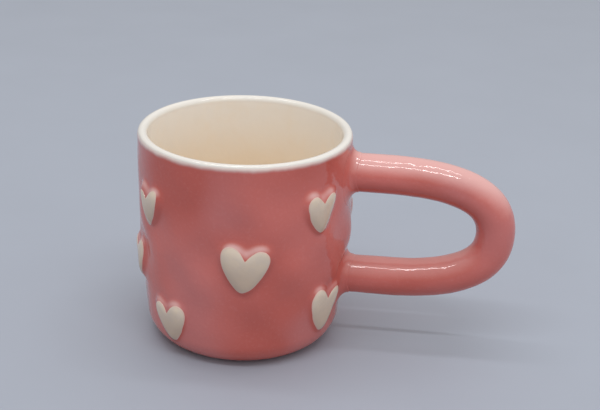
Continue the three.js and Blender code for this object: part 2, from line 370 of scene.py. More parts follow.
def present(piece, slot, *nodes):
    """Hangs a finished piece under the root body, and hides the nodes that it stands in for."""
    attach(piece, "root")
    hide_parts(*nodes)


# The cup


def lip_base(cup):
    """Height at which the round of the lip begins."""
    return cup.height - cup.lip_radius


def tapered_radius(cup, z):
    """Radius of the smooth wall at a height, without its rounded heel."""
    return cup.rim_radius - cup.wall_taper * np.clip(1 - z / cup.height, 0, 1) ** cup.taper_curve


def inner_radius(cup, z):
    """Radius of the inside of the wall at a height."""
    return tapered_radius(cup, z) - 2 * cup.lip_radius


def wall_radius(cup, around, z):
    """Radius of the wall: tapered, round at the heel, and uneven from the hand between foot and lip."""
    under_heel = np.clip(1 - z / cup.heel_height, 0, 1)
    heel = cup.heel_width * (1 - np.sqrt(1 - under_heel**2))
    rise = math.pi * z / lip_base(cup)
    uneven = cup.hand_wave / len(HAND_WAVES) * waves(HAND_WAVES, around, rise)
    uneven += cup.finger_dent / len(FINGER_DENTS) * waves(FINGER_DENTS, around, rise)
    beside = cup.rim_radius * wrapped(around)
    uneven += cup.bulge * np.exp(-(beside**2 + (z - cup.bulge_height) ** 2) / cup.bulge_spread**2)
    return tapered_radius(cup, z) - heel + uneven * np.clip(np.sin(rise), 0, 1)


def cubic(start, first, second, end, t):
    """Points on a cubic curve, given by its ends and the two controls between them."""
    rest = 1 - t
    terms = (rest**3, 3 * rest**2 * t, 3 * rest * t**2, t**3)
    return sum(np.outer(term, point) for term, point in zip(terms, (start, first, second, end)))


def heart_outline(notch_fill, per_curve=40):
    """The unit heart's outline as points about its middle, with a share of its notch filled in."""
    t = np.arange(per_curve) / per_curve
    filled = [(x, 1 - (1 - y) * (1 - notch_fill)) for x, y in HEART_HALF[-1]]
    right = np.concatenate([cubic(*curve, t) for curve in (*HEART_HALF[:-1], filled)])
    notch = np.array([filled[-1]])
    left = right[:0:-1] * (-1, 1)
    return np.concatenate([right, notch, left]) - (0, HEART_MIDDLE)


def turned(points, degrees):
    cos, sin = math.cos(math.radians(degrees)), math.sin(math.radians(degrees))
    return points @ np.array([[cos, sin], [-sin, cos]])


def heart_place(cup, name):
    """Angle, height and width of a heart, measured on its solid once that is laid flat and upright."""
    lean = HEARTS[name].lean
    points = np.array([vertex.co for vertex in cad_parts[name].data.vertices])
    towards = math.atan2(*points.mean(axis=0)[1::-1])
    across = wrapped(np.arctan2(points[:, 1], points[:, 0]) - towards)
    flat = turned(np.stack([across * cup.rim_radius, points[:, 2]], axis=1), -lean)
    low, high = flat.min(axis=0), flat.max(axis=0)
    width = high[0] - low[0]
    middle = turned(np.array([(low[0] + high[0]) / 2, low[1] + HEART_MIDDLE * width]), lean)
    return towards + middle[0] / cup.rim_radius, middle[1], width


def outline_distance(points, outline):
    """Distance of points from a closed outline, negative inside it."""
    start, along = outline, np.roll(outline, -1, axis=0) - outline
    offset = points[:, None] - start
    part = np.clip((offset * along).sum(axis=2) / (along**2).sum(axis=1), 0, 1)
    nearest = np.linalg.norm(offset - part[..., None] * along, axis=2).min(axis=1)
    x, y = points[:, 0, None], points[:, 1, None]
    below, above = start[:, 1], start[:, 1] + along[:, 1]
    crosses = (below > y) != (above > y)
    rise = np.where(along[:, 1] == 0, 1, along[:, 1])
    at_left = x < start[:, 0] + (y - below) * along[:, 0] / rise
    is_inside = (crosses & at_left).sum(axis=1) % 2 == 1
    return np.where(is_inside, -nearest, nearest)


def softened(grid, passes=4):
    """A grid that closes on itself round the cup, with its creases smoothed away."""
    for _ in range(passes):
        grid = (np.roll(grid, 1, axis=1) + 2 * grid + np.roll(grid, -1, axis=1)) / 4
        inner = (grid[:-2] + 2 * grid[1:-1] + grid[2:]) / 4
        grid = np.concatenate([grid[:1], inner, grid[-1:]])
    return grid


def heart_swells(cup, hearts, around, z):
    """How far the clay swells out under the hearts, at each place of a grid on the wall."""
    raised = np.zeros(around.shape)
    outline = heart_outline(hearts.notch_fill)
    for name, heart in HEARTS.items():
        towards, height, width = heart_place(cup, name)
        across = cup.rim_radius * wrapped(around - towards)
        flat = np.stack([across, z - height], axis=-1) - np.array(heart.stray) * MM
        is_near = np.abs(flat).max(axis=-1) < width / 2 + 2 * hearts.foot
        outside = outline_distance(turned(flat[is_near], -heart.lean - heart.turn), width * outline)
        climb = np.clip((hearts.foot - outside) / (hearts.foot + hearts.crown), 0, 1) ** hearts.steepness
        eased = climb**2 * (3 - 2 * climb)
        raised[is_near] = np.maximum(raised[is_near], heart.swell * eased)
    return hearts.relief * softened(raised)


def rippled(points, depth, size=5 * MM):
    """How far the glaze's orange peel stands out at each point."""
    return depth * np.array([noise.noise(Vector(point) / size) for point in points.reshape(-1, 3)])


def lip_ring(cup, around, swing, depth):
    """A ring on the round of the lip: an angle up from its outside, and a depth under its face."""
    radius = cup.lip_radius - depth
    out = cup.rim_radius - cup.lip_radius + radius * np.cos(swing)
    return ring(out, around, lip_base(cup) + radius * np.sin(swing))


def bowl_profile(cup, depth, rows):
    """Radius and height over the lip, down the inside and across the floor, sunk in by a depth."""
    lip = arc(cup.rim_radius - cup.lip_radius, lip_base(cup), cup.lip_radius - depth, math.pi, rows)
    corner_top = cup.floor + cup.floor_corner
    z = np.linspace(lip_base(cup), corner_top, 2 * rows)[1:-1]
    wall = np.stack([inner_radius(cup, z) + depth, z], axis=1)
    corner_out = inner_radius(cup, corner_top) - cup.floor_corner
    corner = arc(corner_out, corner_top, cup.floor_corner + depth, -QUARTER_TURN, rows)
    across = np.linspace(1, 0, rows)[1:-1]
    floor = np.stack([corner[-1, 0] * across, corner[-1, 1] + 0 * across], axis=1)
    return np.concatenate([lip, wall, corner, floor])


def hidden_bowl(cup, depth):
    """The same profile where nothing shows it: coarse, and from near the top of the lip."""
    return bowl_profile(cup, depth, HIDDEN_ROWS)[HIDDEN_ROWS // 2 - 1 :]


def foot_points(cup):
    """Count of the points of the foot, which come before those of the wall."""
    return 1 + cup.turns * FOOT_RINGS


def cup_wall(cup, hearts):
    """The clay cup: flat foot, round heel, wall with its swells, and a hidden inside for the lining."""
    around = circle(cup.turns)
    swing = np.arange(cup.heel_rows) / cup.heel_rows * QUARTER_TURN
    heel = cup.heel_height * (1 - np.cos(swing))
    wall = np.linspace(cup.heel_height, lip_base(cup), cup.rows + 1)
    heights = np.concatenate([heel, wall])
    grid_z, grid_around = np.meshgrid(heights, around, indexing="ij")
    swells = heart_swells(cup, hearts, grid_around, grid_z)
    radius = wall_radius(cup, grid_around, grid_z) + swells
    points = np.stack([radius * np.cos(grid_around), radius * np.sin(grid_around), grid_z], axis=-1)
    radius[1:] += rippled(points, cup.glaze_ripple).reshape(radius.shape)[1:]
    outside = [ring(radius[row], around, heights[row]) for row in range(len(heights))]
    foot_edge = tapered_radius(cup, 0) - cup.heel_width
    border = foot_edge - cup.glaze_line * (1 + waves(FOOT_WAVES, around))
    foot = [ring(border * (row + 1) / FOOT_RINGS, around, 0.0) for row in range(FOOT_RINGS)]
    swings = np.linspace(0, 2 * cup.lap_edge, UNDER_LAP_ROWS + 1)[1:]
    under_lap = [lip_ring(cup, around, swing, 0) for swing in swings]
    hidden = hidden_bowl(cup, cup.coat + cup.lap_lift)
    inside = under_lap + [ring(out, around, up) for out, up in hidden]
    made = skin("pink_cup_wall", [pole(0.0), *foot, *outside, *inside, pole(hidden[-1, 1])])
    mesh = made.data
    is_bare = np.arange(len(mesh.polygons)) < cup.turns * FOOT_RINGS
    mesh.polygons.foreach_set("material_index", is_bare.astype(np.int32))
    climb = (swells / hearts.relief).ravel()
    # Where glaze runs on the swells' slopes, and with it a painted sheen above the hearts and painted shade
    # below them
    runs = np.zeros(len(mesh.vertices))
    runs[foot_points(cup) : foot_points(cup) + climb.size] = SLOPE_RUN * climb * (1 - climb)
    mark(mesh, "glaze_run", runs)
    return made


def cream_lining(cup):
    """The coat of cream glaze inside the cup, with a wavy edge lapped over the lip onto the pink."""
    around = circle(cup.turns)
    edge = cup.lap_edge + cup.lap_wave / cup.lip_radius * waves(LAP_WAVES, around) / 2
    lap = [lip_ring(cup, around, edge, cup.coat), lip_ring(cup, around, edge, 0)]
    for row in range(1, LINING_ROWS):
        part = (row / LINING_ROWS) ** LAP_CROWDING
        over = cup.lap_lift * min(1, part / LAP_ROUND) * max(0, 1 - part / LAP_FADE)
        lap.append(lip_ring(cup, around, edge + (math.pi - edge) * part, -over))
    face = bowl_profile(cup, 0, LINING_ROWS)[LINING_ROWS - 1 :]
    back = hidden_bowl(cup, cup.coat)[::-1]
    shown = [ring(out, around, up) for out, up in face]
    hidden = [ring(out, around, up) for out, up in back]
    return skin("cream_lining", [pole(back[0, 1]), *hidden, *lap, *shown, pole(face[-1, 1])])


# Node trees


class Sheet:
    """A node tree that is written one node at a time."""

    def __init__(self, tree):
        self.nodes, self.links = tree.nodes, tree.links

    def node(self, kind, inputs=None, **settings):
        """Adds a node, whose inputs are values or the outputs of other nodes."""
        made = self.nodes.new(kind)
        for key, value in settings.items():
            setattr(made, key, value)
        for key, value in (inputs or {}).items():
            if isinstance(value, bpy.types.NodeSocket):
                self.links.new(value, made.inputs[key])
            else:
                made.inputs[key].default_value = value
        return made

    def math(self, operation, *values):
        return self.node("ShaderNodeMath", dict(enumerate(values)), operation=operation).outputs[0]

    def vector(self, operation, *values):
        return self.node("ShaderNodeVectorMath", dict(enumerate(values)), operation=operation).outputs[0]

    def scaled(self, vector, factor):
        inputs = {"Vector": vector, "Scale": factor}
        return self.node("ShaderNodeVectorMath", inputs, operation="SCALE").outputs[0]

    def split(self, vector):
        return self.node("ShaderNodeSeparateXYZ", {0: vector}).outputs

    def join(self, x, y, z):
        return self.node("ShaderNodeCombineXYZ", {0: x, 1: y, 2: z}).outputs[0]

    def ease(self, value, low, high, to_low, to_high):
        """A value carried smoothly from one range to another, and held at its ends."""
        inputs = {"Value": value, "From Min": low, "From Max": high, "To Min": to_low, "To Max": to_high}
        return self.node("ShaderNodeMapRange", inputs, interpolation_type="SMOOTHSTEP").outputs[0]

    def grows(self, value, low, high, most):
        """A share that is nothing at one value and grows smoothly to its most at another."""
        return self.ease(value, low, high, 0.0, most)


def geometry_tree(name, inputs):
    """An empty geometry tree with inputs listed by kind, its sheet and the sockets of those inputs."""
    tree = bpy.data.node_groups.new(name, "GeometryNodeTree")
    tree.interface.new_socket("Geometry", in_out="OUTPUT", socket_type="NodeSocketGeometry")
    for kind, labels in inputs.items():
        for label in labels:
            tree.interface.new_socket(label, in_out="INPUT", socket_type="NodeSocket" + kind)
    sheet = Sheet(tree)
    return tree, sheet, sheet.node("NodeGroupInput").outputs


def shape_of(sheet, guide):
    """The geometry of a guide object."""
    return sheet.node("GeometryNodeObjectInfo", {"Object": guide}).outputs["Geometry"]


def keep(sheet, geometry, name, value):
    """Geometry that keeps a number for each of its points, which a finish can read."""
    inputs = {"Geometry": geometry, "Name": name, "Value": value}
    made = sheet.node("GeometryNodeStoreNamedAttribute", inputs, data_type="FLOAT", domain="POINT")
    return made.outputs[0]


def end_tree(sheet, geometry, material):
    """Ends a geometry tree as smooth, real faces with their material."""
    smooth = sheet.node("GeometryNodeSetShadeSmooth", {"Geometry": geometry}).outputs[0]
    real = sheet.node("GeometryNodeRealizeInstances", {"Geometry": smooth}).outputs[0]
    dressed = sheet.node("GeometryNodeSetMaterial", {"Geometry": real, "Material": material}).outputs[0]
    sheet.node("NodeGroupOutput", {"Geometry": dressed})


def grown(name, tree, values):
    """A plain mesh object that holds what a geometry tree makes of these values."""
    made = new_object(name, bpy.data.meshes.new(name))
    modifier = made.modifiers.new("Shape", "NODES")
    modifier.node_group = tree
    sockets = {s.name: s.identifier for s in tree.interface.items_tree if s.in_out == "INPUT"}
    for label, value in values.items():
        modifier[sockets[label]] = value
    evaluated = made.evaluated_get(bpy.context.evaluated_depsgraph_get())
    mesh = bpy.data.meshes.new_from_object(evaluated)
    made.modifiers.remove(modifier)
    empty, made.data = made.data, mesh
    bpy.data.meshes.remove(empty)
    mesh.name = name
    if not mesh.polygons:
        raise RuntimeError(f"{name} has no faces")
    return made


def bezier(name, knots, is_loop=False):
    """A curve through knots, each a handle before it, a point and a handle after it."""
    curve = bpy.data.curves.new(name, "CURVE")
    curve.dimensions = "3D"
    spline = curve.splines.new("BEZIER")
    spline.use_cyclic_u = is_loop
    spline.resolution_u = CURVE_STEPS
    spline.bezier_points.add(len(knots) - 1)
    for knot, (before, point, after) in zip(spline.bezier_points, knots):
        knot.handle_left_type = knot.handle_right_type = "FREE"
        knot.handle_left, knot.co, knot.handle_right = before, point, after
    return new_object(name, curve)


def discard(*objects):
    """Removes guides that aren't part of the mug."""
    for made in objects:
        bpy.data.objects.remove(made)


# Coil handle


def handle_path(cup, handle):
    """The coil's middle line: two straight arms from the wall and one full bend."""
    upper, lower = handle.upper_side - handle.coil_radius, handle.lower_side + handle.coil_radius
    middle = (upper + lower) / 2
    end = handle.reach - handle.coil_radius
    bend = cup.rim_radius + handle.straight_arm
    shoulder = bend + handle.bend_fullness * (end - bend)
    swell = handle.bend_fullness * (upper - middle)

    def at(x, z):
        return Vector((x, 0, z))

    def root(z):
        return [at(float(tapered_radius(cup, z)) - handle.sunk, z)] * 3

    knots = [
        root(upper),
        (at(bend, upper), at(bend, upper), at(shoulder, upper)),
        (at(end, middle + swell), at(end, middle), at(end, middle - swell)),
        (at(shoulder, lower), at(bend, lower), at(bend, lower)),
        root(lower),
    ]
    return bezier("handle_path", knots)


def lumps(sheet, where, scale, detail, depth):
    """How far soft lumps stand out or dip in, by up to about a depth."""
    inputs = {"Vector": where, "Scale": scale, "Detail": detail}
    found = sheet.node("ShaderNodeTexNoise", inputs).outputs[0]
    reaching = sheet.math("MULTIPLY", sheet.math("SUBTRACT", found, 0.5), NOISE_REACH)
    return sheet.math("MULTIPLY", reaching, depth)


def coil_tree():
    """A round coil swept along a path, rolled a little uneven and rippled by its glaze."""
    tree, sheet, given = geometry_tree(
        "rolled_coil",
        {
            "Object": ["Path"],
            "Float": ["Radius", "Step", "Unevenness", "Ripple", "Lower Arm", "Upper Arm", "Lower Arm Shading"],
            "Int": ["Sides"],
            "Material": ["Material"],
        },
    )
    steps = {"Curve": shape_of(sheet, given["Path"]), "Length": given["Step"]}
    stepped = sheet.node("GeometryNodeResampleCurve", steps, mode="LENGTH").outputs[0]
    section = {"Resolution": given["Sides"], "Radius": given["Radius"]}
    section = sheet.node("GeometryNodeCurvePrimitiveCircle", section).outputs[0]
    sweep = {"Curve": stepped, "Profile Curve": section, "Fill Caps": True}
    sweep = sheet.node("GeometryNodeCurveToMesh", sweep).outputs[0]
    where = sheet.node("GeometryNodeInputPosition").outputs[0]
    normal = sheet.node("GeometryNodeInputNormal").outputs[0]
    rolled = lumps(sheet, where, ROLL_SCALE, detail=1.0, depth=given["Unevenness"])
    peel = lumps(sheet, where, PEEL_SCALE, detail=0.5, depth=given["Ripple"])
    offset = sheet.scaled(normal, sheet.math("ADD", rolled, peel))
    uneven = sheet.node("GeometryNodeSetPosition", {"Geometry": sweep, "Offset": offset}).outputs[0]
    height = sheet.split(where)[2]
    # Share of the glaze's run with its painted sheen and shade, less on the lower arm that the upper arm
    # shades
    run = sheet.ease(height, given["Lower Arm"], given["Upper Arm"], given["Lower Arm Shading"], 1.0)
    end_tree(sheet, keep(sheet, uneven, "glaze_run", run), given["Material"])
    return tree


def wall_front(search, cup, y, z):
    """How far from the axis, along +X, the finished wall lies at a place across the handle."""
    hit = search.ray_cast(Vector((2 * cup.rim_radius, y, z)), Vector((-1, 0, 0)))[0]
    if hit is None:
        raise RuntimeError(f"a joint misses the wall at y {y:.4f}, z {z:.4f}")
    return hit.x


def joint_bead(name, cup, handle, arm_height, arm_run_and_shading, wall):
    """The slip wiped round the end of an arm: a hollow fillet that feathers out on the wall."""
    search = BVHTree.FromObject(wall, bpy.context.evaluated_depsgraph_get())
    around = circle(handle.bead_sides)
    spread = 1 + BEAD_SIDES * np.abs(np.cos(around)) - BEAD_BELOW * np.sin(around)
    spread *= handle.bead_spread * (1 + waves(BEAD_SPREAD_WAVES, around))
    rise = handle.bead_rise * (1 + waves(BEAD_RISE_WAVES, around))
    edge, coil, sunk = handle.bead_edge, handle.coil_radius, handle.sunk / 2
    buried = [(coil - sunk, -sunk), (coil + spread, -sunk)]
    hollow = []
    for swing in np.linspace(0, QUARTER_TURN, handle.bead_rows):
        out = coil + edge + (spread - edge) * (1 - math.sin(swing))
        hollow.append((out, rise * (1 - math.cos(swing))))
    step = [(coil + edge * out, rise + along * edge) for out, along in BEAD_STEP]
    rings = []
    for out, along in buried + hollow + step:
        y, z = out * np.cos(around), arm_height + out * np.sin(around)
        x = [wall_front(search, cup, *spot) for spot in zip(y, z)]
        rings.append(np.stack([np.array(x) + along, y, z], axis=1))
    made = skin(name, rings, is_band=True)
    first, last = len(buried), len(buried) + len(hollow) - 1
    # The glaze's run, with its painted sheen and shade, grows across the hollow to the arm's share
    runs = np.interp(np.arange(len(rings)), (first, last), (0, arm_run_and_shading))
    mark(made.data, "glaze_run", np.repeat(runs, handle.bead_sides))
    return made


# Hearts


def heart_curve():
    """The heart's outline as a closed curve about its middle."""

    def at(point, side=1):
        return Vector((point[0] * side, point[1] - HEART_MIDDLE, 0))

    tip = HEART_HALF[0]
    knots = []
    for curve, after in zip(HEART_HALF, (*HEART_HALF[1:], None)):
        handle_after = at(after[1]) if after else at(curve[2], -1)
        knots.append((at(curve[2]), at(curve[3]), handle_after))
    mirrored = [tuple(Vector((-p.x, p.y, 0)) for p in knot[::-1]) for knot in knots[-2::-1]]
    tip_knot = (at(tip[1], -1), at(tip[0]), at(tip[1]))
    return bezier("heart_outline", [tip_knot, *knots, *mirrored], True)


def heart_tree():
    """A thin heart of paint, laid on the wall and following every swell of it."""
    tree, sheet, given = geometry_tree(
        "painted_heart",
        {
            "Object": ["Outline", "Wall"],
            "Float": ["Wall Radius", "Towards", "Height", "Width", "Lean", "Droop", "Sway"]
            + ["Paint", "Sink", "Wobble", "Seed"],
            "Int": ["Points", "Rings"],
            "Material": ["Material"],
        },
    )
    # One way across the grid goes round the heart, the other from its back over its edge to its face
    columns = sheet.math("ADD", given["Points"], 1.0)
    rows = sheet.math("ADD", sheet.math("MULTIPLY", given["Rings"], 2.0), 1.0)
    sizes = {"Size X": 1.0, "Size Y": 1.0, "Vertices X": columns, "Vertices Y": rows}
    grid = sheet.node("GeometryNodeMeshGrid", sizes).outputs[0]
    x, y, _ = sheet.split(sheet.node("GeometryNodeInputPosition").outputs[0])
    swing = sheet.math("MULTIPLY", sheet.math("ADD", y, 0.5), math.pi)
    inwards = sheet.math("SINE", swing)
    facing = sheet.math("MULTIPLY", sheet.math("COSINE", swing), -1.0)

    # The outline as it was drawn, with the stray of a hand
    walk = {"Curves": shape_of(sheet, given["Outline"]), "Factor": sheet.math("ADD", x, 0.5)}
    walked = sheet.node("GeometryNodeSampleCurve", walk, mode="FACTOR", use_all_curves=True)
    drawn = walked.outputs["Position"]
    hand = {"Vector": drawn, "W": given["Seed"], "Scale": WOBBLE_SCALE, "Detail": 1.0}
    hand = sheet.node("ShaderNodeTexNoise", hand, noise_dimensions="4D").outputs["Color"]
    stray = sheet.scaled(sheet.vector("SUBTRACT", hand, (0.5, 0.5, 0.5)), given["Wobble"])
    right, top, _ = sheet.split(sheet.vector("ADD", drawn, stray))
    drooped = sheet.math("SUBTRACT", top, sheet.math("MULTIPLY", right, given["Droop"]))
    swayed = sheet.math("ADD", right, sheet.math("MULTIPLY", top, given["Sway"]))
    size = sheet.math("MULTIPLY", given["Width"], inwards)
    painted = sheet.scaled(sheet.join(swayed, drooped, 0.0), size)
    lean = {"Vector": painted, "Angle": given["Lean"]}
    leaning = sheet.node("ShaderNodeVectorRotate", lean, rotation_type="Z_AXIS").outputs[0]
    across, up, _ = sheet.split(leaning)

    # Each point is bent round the cup and dropped onto the wall from outside
    bearing = sheet.math("ADD", given["Towards"], sheet.math("DIVIDE", across, given["Wall Radius"]))
    outward = sheet.join(sheet.math("COSINE", bearing), sheet.math("SINE", bearing), 0.0)
    reach = sheet.math("MULTIPLY", given["Wall Radius"], 2.0)
    level = sheet.join(0.0, 0.0, sheet.math("ADD", given["Height"], up))
    drop = {
        "Target Geometry": shape_of(sheet, given["Wall"]),
        "Source Position": sheet.vector("ADD", sheet.scaled(outward, reach), level),
        "Ray Direction": sheet.scaled(outward, -1.0),
        "Ray Length": reach,
    }
    landed = sheet.node("GeometryNodeRaycast", drop).outputs["Hit Position"]
    sunk = sheet.math("MULTIPLY", given["Sink"], -1.0)
    lift = sheet.ease(facing, 0.0, PAINT_EDGE, sunk, given["Paint"])
    laid = sheet.vector("ADD", landed, sheet.scaled(outward, lift))
    marked = keep(sheet, grid, "paint_edge", inwards)
    marked = keep(sheet, marked, "paint_height", sheet.math("MULTIPLY", top, inwards))
    placed = sheet.node("GeometryNodeSetPosition", {"Geometry": marked, "Position": laid}).outputs[0]
    closed = sheet.node("GeometryNodeMergeByDistance", {"Geometry": placed, "Distance": WELD}).outputs[0]
    end_tree(sheet, closed, given["Material"])
    return tree


def midway(before, left, right, after):
    """The point halfway between two points of a smooth curve, given one more on either side."""
    return (9 * (left + right) - before - after) / 16


def doubled(grid):
    """A grid of points closed round the cup, with a new point on the smooth curve between each two."""
    before, right, after = (np.roll(grid, steps, axis=1) for steps in (1, -1, -2))
    grid = np.stack([grid, midway(before, grid, right, after)], axis=2).reshape(len(grid), -1, 3)
    padded = np.concatenate([2 * grid[:1] - grid[1:2], grid, 2 * grid[-1:] - grid[-2:-1]])
    between = midway(padded[:-3], padded[1:-2], padded[2:-1], padded[3:])
    rows = np.stack([grid[:-1], between], axis=1).reshape(-1, *grid.shape[1:])
    return np.concatenate([rows, grid[-1:]])


def smooth_former(cup, wall):
    """A finer copy of the wall's outside, so that the paint laid on it shows none of its facets."""
    points = np.empty(3 * len(wall.data.vertices), np.float32)
    wall.data.vertices.foreach_get("co", points)
    first, rows = foot_points(cup), cup.heel_rows + cup.rows + 1
    outside = points.reshape(-1, 3)[first : first + rows * cup.turns].reshape(rows, cup.turns, 3)
    return skin("wall_former", list(doubled(outside)))


# Finishes


def darker(tone, part):
    return tuple(part * value for value in tone)


class Surface(Sheet):
    """A material written one node at a time, on the coordinates of the piece that wears it."""

    def __init__(self, name):
        self.material = bpy.data.materials.new(name)
        self.material.use_nodes = True
        super().__init__(self.material.node_tree)
        self.shader = self.nodes["Principled BSDF"]
        self.place = self.node("ShaderNodeTexCoord").outputs["Object"]

    def feed(self, socket, value):
        """Leads a node's output to a socket of the shader."""
        self.links.new(value, self.shader.inputs[socket])

    def kept(self, name):
        """A number that the mesh keeps for each of its points."""
        return self.node("ShaderNodeAttribute", attribute_name=name).outputs["Fac"]

    def height(self):
        return self.split(self.place)[2]

    def cloud(self, size, detail=2.0, shift=None):
        """Soft noise whose blotches are about as wide as the size given."""
        where = self.vector("ADD", self.place, shift) if shift else self.place
        inputs = {"Vector": where, "Scale": 1 / size, "Detail": detail, "Roughness": BLOTCH_ROUGHNESS}
        return self.node("ShaderNodeTexNoise", inputs).outputs[0]

    def blotches(self, size, low, high, most, detail=2.0, shift=None):
        """How strongly soft blotches show: nothing where the noise is low, the most where it is high."""
        return self.grows(self.cloud(size, detail, shift), low, high, most)

    def strayed(self, value, size, stray):
        """A value pushed up here and there by soft noise."""
        return self.math("ADD", value, self.math("MULTIPLY", self.cloud(size), stray))

    def mix(self, factor, first, second):
        """A colour between two others."""
        names = {"Factor": factor, "A": first, "B": second}
        made = self.nodes.new("ShaderNodeMix")
        made.data_type = "RGBA"
        for socket in made.inputs:
            if socket.enabled and socket.name in names:
                value = names[socket.name]
                if isinstance(value, bpy.types.NodeSocket):
                    self.links.new(value, socket)
                else:
                    socket.default_value = (*value, 1.0)
        return next(socket for socket in made.outputs if socket.enabled)

    def bump(self, height, distance, below=None):
        inputs = {"Height": height, "Distance": distance, "Strength": 1.0}
        if below is not None:
            inputs["Normal"] = below
        return self.node("ShaderNodeBump", inputs).outputs[0]

    def glossy(self, finish, peel):
        """Gives the shader the uneven gloss and the fine orange peel of fired glaze."""
        dull = self.cloud(size=9 * MM)
        gloss = self.ease(dull, low=0.3, high=0.7, to_low=finish.gloss_low, to_high=finish.gloss_high)
        self.feed("Roughness", gloss)
        coarse = self.bump(self.cloud(size=2.6 * MM, detail=1.0), peel)
        fine = self.bump(self.cloud(size=1.1 * MM, detail=1.0), FINE_PEEL * peel, coarse)
        self.feed("Normal", fine)
        self.shader.inputs["IOR"].default_value = GLAZE_IOR


def pink_glaze(cup, finish):
    """Pink glaze in soft patches, paler on what faces up from run-off and a painted sheen, deeper below
    from pooling and painted shade, and milky under the lip.
    """
    made = bpy.data.materials.get("glossy_pink")
    if made:
        return made
    glaze = Surface("glossy_pink")
    deep = glaze.blotches(size=40 * MM, low=0.35, high=0.65, most=0.9, detail=0.5)
    body = glaze.mix(deep, finish.pink, finish.pink_deep_and_shade)
    cool = glaze.blotches(size=34 * MM, low=0.45, high=0.7, most=0.8, detail=0.5, shift=PATCH_SHIFT)
    body = glaze.mix(cool, body, finish.pink_cool)
    fleck = glaze.blotches(size=1.2 * MM, low=0.5, high=0.8, most=0.06)
    body = glaze.mix(fleck, body, finish.pink_thin_and_sheen)
    run = glaze.kept("glaze_run")
    facing = glaze.split(glaze.node("ShaderNodeNewGeometry").outputs["Normal"])[2]
    # Painted shade on what faces down and a painted sheen on what faces up, over the glaze's real pooling
    # and run-off
    pooled_and_shade = glaze.math("MULTIPLY", run, glaze.grows(facing, *FACES_DOWN, most=0.95))
    body = glaze.mix(pooled_and_shade, body, finish.pink_deep_and_shade)
    thinned_and_sheen = glaze.math("MULTIPLY", run, glaze.grows(facing, *FACES_UP, most=0.9))
    body = glaze.mix(thinned_and_sheen, body, finish.pink_thin_and_sheen)
    height = glaze.strayed(glaze.height(), size=7 * MM, stray=1.2 * MM)
    lap = lip_base(cup) + cup.lip_radius * math.sin(cup.lap_edge)
    milky = glaze.grows(height, lap - MILKY_BELOW, lap + MILKY_ABOVE, most=0.8)
    glaze.feed("Base Color", glaze.mix(milky, body, finish.cream_thin))
    glaze.glossy(finish, finish.peel)
    return glaze.material


def cream_glaze(cup, finish):
    """Cream glaze, thin on the rim, and deeper and warmer down inside from pooling glaze with painted shade
    and warm bounce light.
    """
    glaze = Surface("glossy_cream")
    height = glaze.strayed(glaze.height(), size=26 * MM, stray=10 * MM)
    # Deeper and warmer towards the floor: pooling glaze, with painted shade and warm bounce light
    depth = glaze.ease(height, cup.floor + DEEPEN_FLOOR, cup.height + DEEPEN_TOP, 1.0, 0.0)
    body = glaze.mix(depth, finish.cream, finish.cream_deep)
    rim = glaze.grows(glaze.height(), lip_base(cup) - RIM_BELOW, lip_base(cup) + RIM_ABOVE, most=1.0)
    body = glaze.mix(rim, body, finish.cream_thin)
    cloudy = glaze.blotches(size=8 * MM, low=0.45, high=0.8, most=0.1)
    glaze.feed("Base Color", glaze.mix(cloudy, body, finish.cream_deep))
    glaze.glossy(finish, finish.lining_peel)
    return glaze.material


def heart_glaze(finish):
    """Cream paint, brushed on, darker towards a heart's tip as painted shade, and with pink showing at its
    thin edge.
    """
    paint = Surface("heart_paint")
    brushed = paint.blotches(size=3.5 * MM, low=0.35, high=0.75, most=0.28, detail=3.0)
    body = paint.mix(brushed, finish.heart_cream, finish.cream_deep)
    # Painted shade: the paint darkens from the lobes down to the tip
    tip_shade = paint.grows(paint.kept("paint_height"), LOBES, TIP, most=0.9)
    body = paint.mix(tip_shade, body, finish.heart_shade)
    ragged = paint.strayed(paint.kept("paint_edge"), size=1.6 * MM, stray=0.08)
    thin = paint.grows(ragged, low=0.94, high=1.06, most=0.55)
    paint.feed("Base Color", paint.mix(thin, body, finish.pink_thin_and_sheen))
    paint.glossy(finish, finish.peel)
    return paint.material


def bare_clay(finish):
    """Unglazed fired clay, dry and grainy."""
    clay = Surface("bare_clay")
    grain = clay.cloud(size=0.5 * MM, detail=4.0)
    specks = clay.grows(grain, low=0.4, high=0.75, most=1.0)
    clay.feed("Base Color", clay.mix(specks, finish.clay, darker(finish.clay, part=0.72)))
    clay.feed("Roughness", clay.ease(grain, low=0.3, high=0.7, to_low=0.75, to_high=0.9))
    clay.feed("Normal", clay.bump(grain, distance=0.05 * MM))
    return clay.material


# Operators for the pieces


class MUG_OT_cup_wall(bpy.types.Operator):
    """Make the pink outside of the cup, with a swell under each heart and a bare foot"""

    bl_idname = "mug.cup_wall"
    bl_label = "Cup Wall"

    def execute(self, context):
        scene = context.scene
        made = cup_wall(scene.mug_cup, scene.mug_hearts)
        made.data.materials.append(pink_glaze(scene.mug_cup, scene.mug_finish))
        made.data.materials.append(bare_clay(scene.mug_finish))
        present(made, "pink_glaze", "cup_body")
        return {"FINISHED"}


class MUG_OT_cream_lining(bpy.types.Operator):
    """Make the cream coat inside the cup and over its lip"""

    bl_idname = "mug.cream_lining"
    bl_label = "Cream Lining"

    def execute(self, context):
        scene = context.scene
        made = cream_lining(scene.mug_cup)
        made.data.materials.append(cream_glaze(scene.mug_cup, scene.mug_finish))
        present(made, "cream_glaze", "cream_liner")
        return {"FINISHED"}


